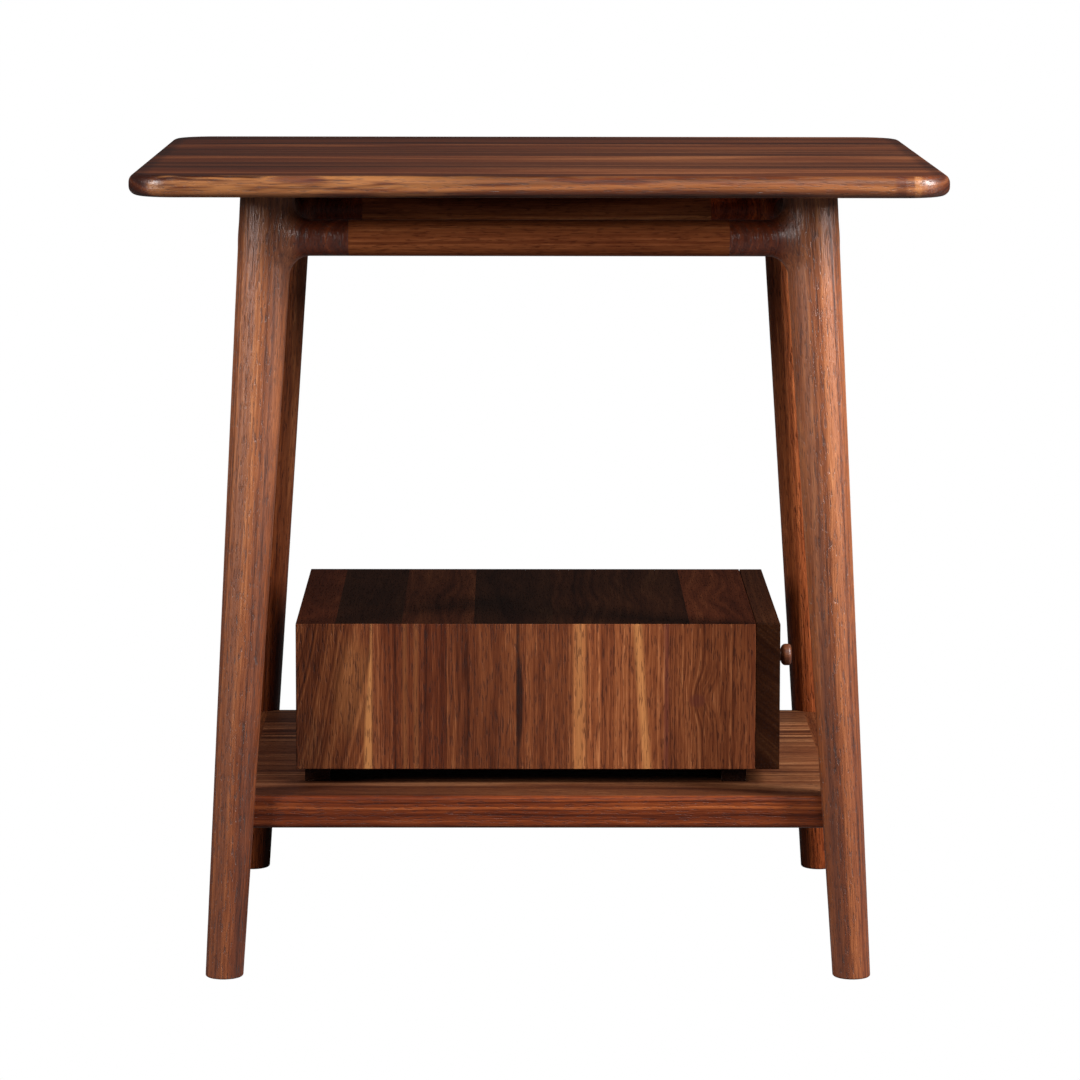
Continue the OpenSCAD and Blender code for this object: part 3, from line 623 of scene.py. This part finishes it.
def build_boards():
    """The flat-sided pieces, with their edges eased as a plane and sandpaper leave them."""
    looks = {
        "cabinet_front_panel": (cabinet_front_wood(), "walnut_cabinet", 0.5),
        "cabinet_rear_panel": (cabinet_wood("cabinet_rear_walnut", (X, Y, Z), 1.0, CABINET_FRONT_BOARDS),
                               "walnut_cabinet", 0.5),
        "cabinet_top": (cabinet_wood("cabinet_top_walnut", (X, Z, Y), 0.17, CABINET_TOP_BOARDS),
                        "walnut_dark", 0.5),
        "cabinet_bottom": (cabinet_wood("cabinet_bottom_walnut", (X, Z, Y), 0.5, CABINET_FRONT_BOARDS),
                           "walnut_dark", 0.5),
        "cabinet_end_panel": (plain_walnut("cabinet_end_walnut", (Y, X, Z), 0.3), "walnut_cabinet", 0.4),
        "drawer_front": (plain_walnut("drawer_front_walnut", (Z, X, Y), 0.52, gain=0.17, polish=0.05),
                         "walnut_dark", 0.6),
        # The risers' very low gain is painted shade: it makes them as dark as the shade under the cabinet.
        "left_riser": (plain_walnut("left_riser_painted_shade_walnut", (Z, X, Y), 0.2, gain=0.15), "walnut_dark", 0.4),
        "right_riser": (plain_walnut("right_riser_painted_shade_walnut", (Z, X, Y), 0.7, gain=0.15), "walnut_dark", 0.4),
        "front_runner": (drawer_wood("front_runner_wood", (Z, Y, X), 0.1), "drawer_wood", 0.3),
        "rear_runner": (drawer_wood("rear_runner_wood", (Z, Y, X), 0.2), "drawer_wood", 0.3),
        "drawer_stop": (drawer_wood("drawer_stop_wood", (Y, Z, X), 0.3), "drawer_wood", 0.3),
        "drawer_left_side": (drawer_wood("drawer_left_side_wood", (Z, Y, X), 0.4), "drawer_wood", 0.5),
        "drawer_right_side": (drawer_wood("drawer_right_side_wood", (Z, Y, X), 0.5), "drawer_wood", 0.5),
        "drawer_back": (drawer_wood("drawer_back_wood", (Z, X, Y), 0.6), "drawer_wood", 0.5),
        "drawer_bottom": (drawer_wood("drawer_bottom_wood", (Y, Z, X), 0.7), "drawer_wood", 0.2),
    }
    for node, (material, slot, ease) in looks.items():
        made = eased_mesh(node, ease * MM)
        piece = add_piece(f"{node}_eased", made, node, material)
        normals = piece.modifiers.new("flat faces", "WEIGHTED_NORMAL")
        normals.keep_sharp = True


def dress_cad_nodes():
    """Materials for the CAD nodes that are shown as they are."""
    looks = {
        "tabletop": tabletop_wood(),
        # The front and rear rails' high gains are painted light, brightening rails that sit in the top's
        # shadow.
        "front_top_rail": plain_walnut("front_rail_painted_light_walnut", (Z, Y, X), 0.31, gain=1.8, polish=0.05),
        "rear_top_rail": plain_walnut("rear_rail_painted_light_walnut", (Z, Y, X), 0.46, gain=1.4, polish=0.05),
        "left_top_rail": plain_walnut("left_rail_walnut", (Z, X, Y), 0.77, gain=0.9),
        "right_top_rail": plain_walnut("right_rail_walnut", (Z, X, Y), 0.12, gain=0.9),
        "shelf_panel": shelf_wood(),
        "left_shelf_rail": plain_walnut("left_shelf_rail_walnut", (X, Z, Y), 0.5, gain=0.8),
        "right_shelf_rail": plain_walnut("right_shelf_rail_walnut", (X, Z, Y), 0.9, gain=0.7),
        "drawer_knob": plain_walnut("knob_walnut", (Y, Z, X), 0.7, gain=0.75, polish=0.45),
    }
    dowels = drawer_wood("dowel_wood", (X, Y, Z), 0.9)
    metal = steel()
    for node, piece in NODES.items():
        material = looks.get(node) or (dowels if "dowels" in node else metal if "screw" in node else None)
        if material:
            piece.data.materials.clear()
            piece.data.materials.append(material)


# ---------------------------------------------------------------- stage, light and camera

FLOOR_HALF = 6.0
FLOOR_BOUNCE = 0.12     # how pale the floor is to the light that it throws back
ROOM_LIGHT = 0.045      # the studio's own light on the table


def build_floor():
    """A floor that is white to the camera and dull to every other ray."""
    mesh = bpy.data.meshes.new("floor")
    corners = [(x * FLOOR_HALF, y * FLOOR_HALF, 0) for x, y in ((-1, -1), (1, -1), (1, 1), (-1, 1))]
    mesh.from_pydata(corners, [], [(0, 1, 2, 3)])
    floor = bpy.data.objects.new("floor", mesh)
    bpy.context.scene.collection.objects.link(floor)
    paint = Shader("pale_floor")
    paint.surface.inputs["Base Color"].default_value = (FLOOR_BOUNCE, FLOOR_BOUNCE, FLOOR_BOUNCE, 1)
    paint.surface.inputs["Roughness"].default_value = 1.0
    paint.surface.inputs["Specular IOR Level"].default_value = 0.0
    glow = paint.node("ShaderNodeEmission")
    glow.inputs["Strength"].default_value = 1.0
    sight = paint.node("ShaderNodeLightPath")
    both = paint.node("ShaderNodeMixShader")
    paint.link(sight.outputs["Is Camera Ray"], both.inputs[0])
    paint.link(paint.surface.outputs[0], both.inputs[1])
    paint.link(glow.outputs[0], both.inputs[2])
    paint.link(both.outputs[0], paint.out.inputs["Surface"])
    mesh.materials.append(paint.material)


def build_world():
    """A backdrop that is white to the camera and dim to every other ray."""
    world = bpy.data.worlds.new("studio")
    bpy.context.scene.world = world
    world.use_nodes = True
    tree = world.node_tree
    tree.nodes.clear()
    out = tree.nodes.new("ShaderNodeOutputWorld")
    back = tree.nodes.new("ShaderNodeBackground")
    room = tree.nodes.new("ShaderNodeBackground")
    room.inputs["Color"].default_value = (1, 1, 1, 1)
    room.inputs["Strength"].default_value = ROOM_LIGHT
    back.inputs["Color"].default_value = (1, 1, 1, 1)
    back.inputs["Strength"].default_value = 1.0
    sight = tree.nodes.new("ShaderNodeLightPath")
    both = tree.nodes.new("ShaderNodeMixShader")
    tree.links.new(sight.outputs["Is Camera Ray"], both.inputs[0])
    tree.links.new(room.outputs[0], both.inputs[1])
    tree.links.new(back.outputs[0], both.inputs[2])
    tree.links.new(both.outputs[0], out.inputs["Surface"])


def add_softbox(name, place, aim, size, power):
    data = bpy.data.lights.new(name, "AREA")
    data.shape = "RECTANGLE"
    data.size, data.size_y = size
    data.energy = power
    lamp = bpy.data.objects.new(name, data)
    lamp.location = place
    lamp.rotation_euler = (Vector(aim) - Vector(place)).to_track_quat("-Z", "Y").to_euler()
    bpy.context.scene.collection.objects.link(lamp)
    lamp.visible_camera = False


def build_lights():
    """Two tall softboxes at the sides and a small one high in front."""
    add_softbox("left_softbox", (-2.3, -1.75, 1.6), (0, 0, 0.4), (0.5, 1.6), 115)
    add_softbox("right_softbox", (1.9, -0.9, 1.45), (0, 0, 0.45), (0.5, 1.4), 135)
    add_softbox("front_softbox", (1.1, -2.1, 2.4), (0, 0, 0.3), (0.8, 0.8), 35)


def build_camera():
    """The camera stands low and far in front, a little left of the middle, and looks slightly down."""
    data = bpy.data.cameras.new("camera")
    data.lens, data.sensor_width = 146.67, 36.0
    data.shift_y = -0.1
    data.clip_start, data.clip_end = 0.1, 50.0
    camera = bpy.data.objects.new("camera", data)
    place = (-0.0198, -3.4109, 0.8304)
    pitch, turn, roll = 7.3835, 0.3657, 0.095
    camera.matrix_world = (Matrix.Translation(place)
                           @ Matrix.Rotation(math.radians(-turn), 4, "Z")
                           @ Matrix.Rotation(math.radians(90 - pitch), 4, "X")
                           @ Matrix.Rotation(math.radians(roll), 4, "Z"))
    bpy.context.scene.collection.objects.link(camera)
    bpy.context.scene.camera = camera
    bpy.context.scene.view_settings.view_transform = "Standard"


build_floor()
build_world()
build_lights()
build_camera()
dress_cad_nodes()
build_legs()
build_boards()
